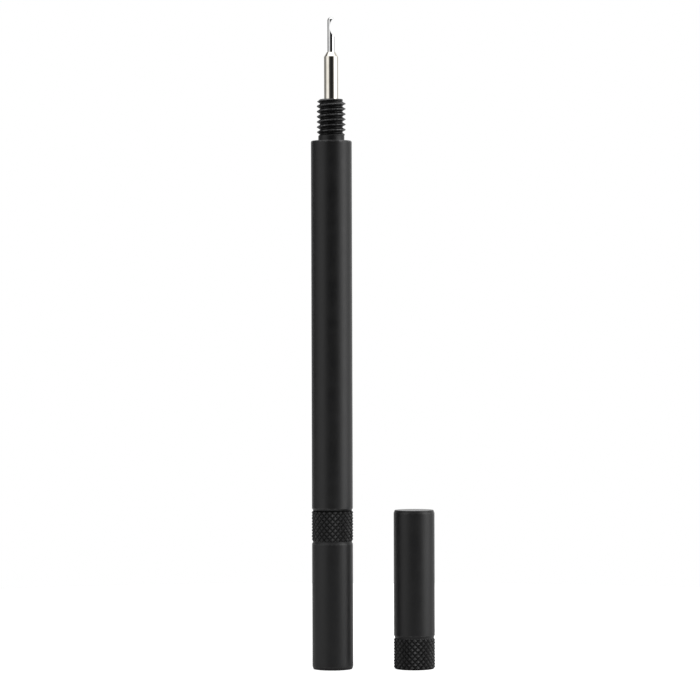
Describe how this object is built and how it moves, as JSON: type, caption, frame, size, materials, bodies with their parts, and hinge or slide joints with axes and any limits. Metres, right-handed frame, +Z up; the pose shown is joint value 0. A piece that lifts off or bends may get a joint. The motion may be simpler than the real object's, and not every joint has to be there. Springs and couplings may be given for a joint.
{
  "type": "deburring tool",
  "caption": "pen-shaped double-ended deburring tool with knurled screw caps and a swivelling blade at each end, standing on its rear cap with the front cap removed beside it",
  "frame": {"origin": "centre of the rear cap's closed end face, on the tool's axis, where the tool stands", "axes": "+Z up along the tool's axis towards the front blade; the removed front cap stands on the +X side; the viewer is on the -Y side"},
  "size_m": [0.0334, 0.0112, 0.1772],
  "materials": {
    "black_anodised": "satin black anodised over a fine blast",
    "bright_chrome": "polished",
    "ground_tool_steel": "ground",
    "bearing_bronze": "as sintered",
    "spring_steel": "blued",
    "bright_steel": "ground bright",
    "seal_rubber": "matt"
  },
  "bodies": {
    "rear_cap": {"rear_cap": "black_anodised"},
    "shoulder_ring": {"rear_cap_oring": "seal_rubber"},
    "handle": {"barrel": "black_anodised", "front_nose": "black_anodised", "front_bush": "bearing_bronze", "front_washer": "bright_steel", "front_ball": "bright_steel", "front_thrust_pad": "bright_steel", "rear_nose": "black_anodised", "rear_bush": "bearing_bronze", "rear_washer": "bright_steel", "rear_ball": "bright_steel", "rear_thrust_pad": "bright_steel"},
    "front_swivel": {"front_spindle": "bright_chrome", "front_blade": "ground_tool_steel", "front_clip": "spring_steel"},
    "rear_swivel": {"rear_spindle": "bright_chrome", "rear_blade": "ground_tool_steel", "rear_clip": "spring_steel"},
    "front_cap": {"front_cap": "black_anodised", "front_cap_oring": "seal_rubber"}
  },
  "joints": [
    {"name": "handle_unscrew", "type": "hinge", "parent": "rear_cap", "child": "shoulder_ring", "pos_m": [0, 0, 0.0431], "axis": [0, 0, 1], "range_deg": [0, 8820]},
    {"name": "handle_withdraw", "type": "slide", "parent": "shoulder_ring", "child": "handle", "axis": [0, 0, 1], "range_m": [0, 0.0345]},
    {"name": "front_blade_swivel", "type": "hinge", "parent": "handle", "child": "front_swivel", "pos_m": [0, 0, 0.1435], "axis": [0, 0, 1], "continuous": true},
    {"name": "rear_blade_swivel", "type": "hinge", "parent": "handle", "child": "rear_swivel", "pos_m": [0, 0, 0.0431], "axis": [0, 0, 1], "continuous": true},
    {"name": "front_cap_lift", "type": "slide", "parent": "rear_cap", "child": "front_cap", "axis": [0, 0, 1], "range_m": [0, 0.18]}
  ],
  "couplings": [
    {"joint": "handle_unscrew", "follows": "handle_withdraw", "rad_per_m": 4452.6}
  ]
}
